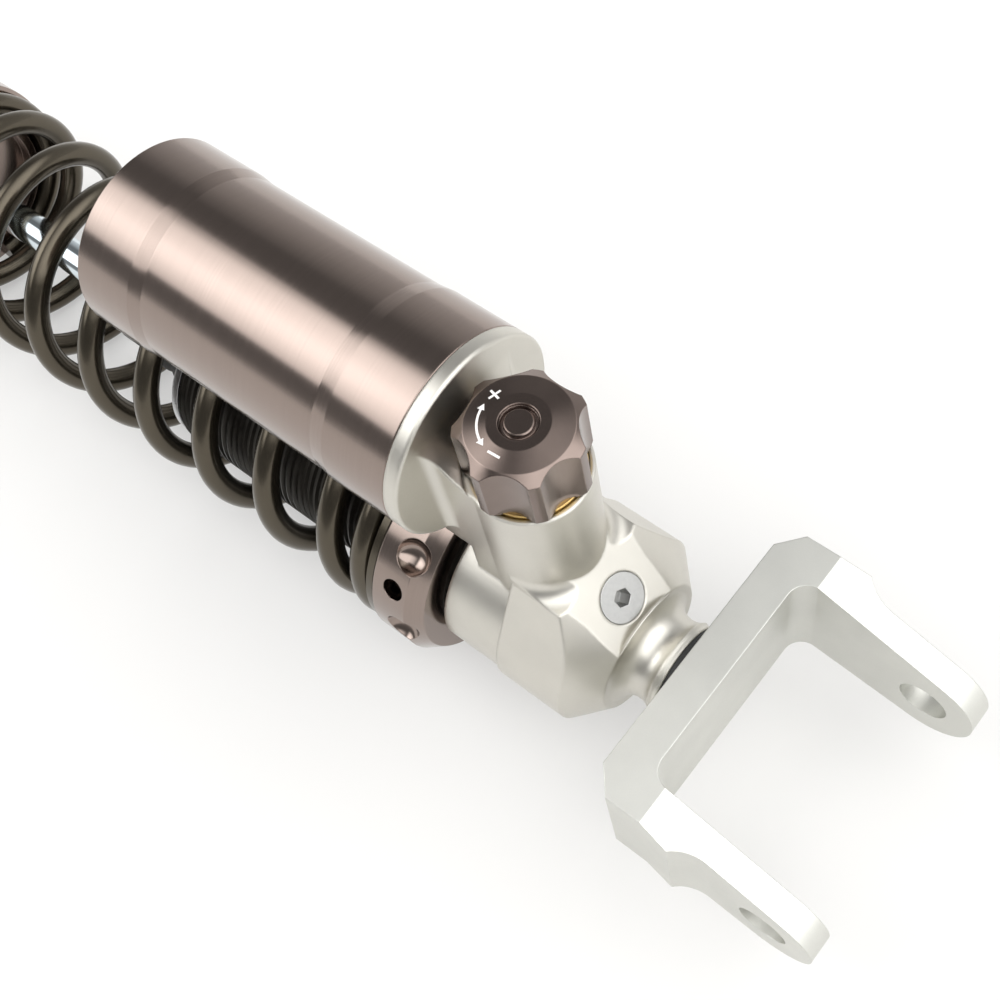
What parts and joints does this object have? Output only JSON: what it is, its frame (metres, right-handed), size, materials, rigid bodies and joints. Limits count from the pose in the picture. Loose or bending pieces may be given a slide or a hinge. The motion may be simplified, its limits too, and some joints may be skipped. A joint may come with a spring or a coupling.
{
  "type": "scooter rear shock absorber",
  "caption": "Coil spring shock absorber with a threaded damper tube, preload ring, side gas reservoir, fluted adjuster knob, rubber-bushed upper eye and a forked lower mount.",
  "frame": {"origin": "centre of the fork's bolt hole", "axes": "+X along the damper axis from the upper eye to the fork, +Y along the bolt, +Z towards the reservoir"},
  "size_m": [0.393, 0.0798, 0.1155],
  "materials": {
    "cast_silver": "satin",
    "fork_silver": "bead blasted",
    "rose_anodised": "anodised satin",
    "knob_anodised": "anodised satin",
    "black_anodised": "anodised satin",
    "machined": "machined",
    "spring_coat": "metallic gloss",
    "chrome_rod": "polished",
    "steel": "plated",
    "dark_steel": "black oxide",
    "shim_steel": "bare",
    "brass": "machined",
    "rubber": "matt",
    "bush_rubber": "matt",
    "foam": "matt foam",
    "band": "matt",
    "cap_plastic": "matt"
  },
  "bodies": {
    "body": {"head": "cast_silver", "damper_tube": "black_anodised", "rod_guide": "machined", "rod_seal": "rubber", "dust_wiper": "rubber", "reservoir_tube": "rose_anodised", "reservoir_oring": "rubber", "end_cap": "rose_anodised", "end_cap_oring": "rubber", "end_cap_clip": "dark_steel", "gas_valve": "brass", "valve_cap": "cap_plastic", "side_plug": "steel", "plug_seal": "rubber", "needle_seat": "brass", "stem_oring": "rubber", "bump_stop": "foam", "fork_oring": "rubber"},
    "rod": {"piston_rod": "chrome_rod", "piston": "machined", "piston_band": "band", "compression_shims": "shim_steel", "rebound_shims": "shim_steel", "piston_nut": "steel", "spring_seat": "rose_anodised", "eye_lock_nut": "steel", "upper_eye": "cast_silver", "eye_bush": "bush_rubber", "eye_sleeve": "steel"},
    "float": {"floating_piston": "machined", "floating_piston_oring": "rubber"},
    "spring": {"spring_washer": "spring_coat", "main_spring": "spring_coat"},
    "ring": {"preload_ring": "rose_anodised", "ring_grub_screw": "dark_steel"},
    "knob": {"adjuster_knob": "knob_anodised", "knob_cap": "knob_anodised", "adjuster_disc": "brass", "adjuster_stem": "brass"},
    "needle": {"adjuster_needle": "steel"},
    "fork": {"fork": "fork_silver"}
  },
  "joints": [
    {"name": "rod_stroke", "type": "slide", "parent": "body", "child": "rod", "axis": [1, 0, 0], "range_m": [0, 0.07], "stiffness_N_per_m": 18300, "deforming": ["main_spring"]},
    {"name": "float_slide", "type": "slide", "parent": "body", "child": "float", "axis": [1, 0, 0], "range_m": [-0.0039, 0.0002]},
    {"name": "preload_travel", "type": "slide", "parent": "body", "child": "spring", "axis": [1, 0, 0], "range_m": [-0.008, 0.0015]},
    {"name": "preload_turn", "type": "hinge", "parent": "spring", "child": "ring", "pos_m": [-0.1106, 0, 0.0085], "axis": [1, 0, 0], "range_deg": [-1440, 270]},
    {"name": "knob_turn", "type": "hinge", "parent": "body", "child": "knob", "pos_m": [-0.0846, 0, 0.0785], "axis": [0, 0, 1], "range_deg": [-360, 360]},
    {"name": "needle_travel", "type": "slide", "parent": "body", "child": "needle", "axis": [0, 0, 1], "range_m": [-0.0016, 0.0016]},
    {"name": "fork_swivel", "type": "hinge", "parent": "body", "child": "fork", "pos_m": [-0.046, 0, 0.0085], "axis": [1, 0, 0], "range_deg": [-20, 20]}
  ],
  "couplings": [
    {"joint": "float_slide", "follows": "rod_stroke", "ratio": -0.0541},
    {"joint": "preload_turn", "follows": "preload_travel", "rad_per_m": 3141.6},
    {"joint": "needle_travel", "follows": "knob_turn", "m_per_rad": 0.00023873}
  ]
}
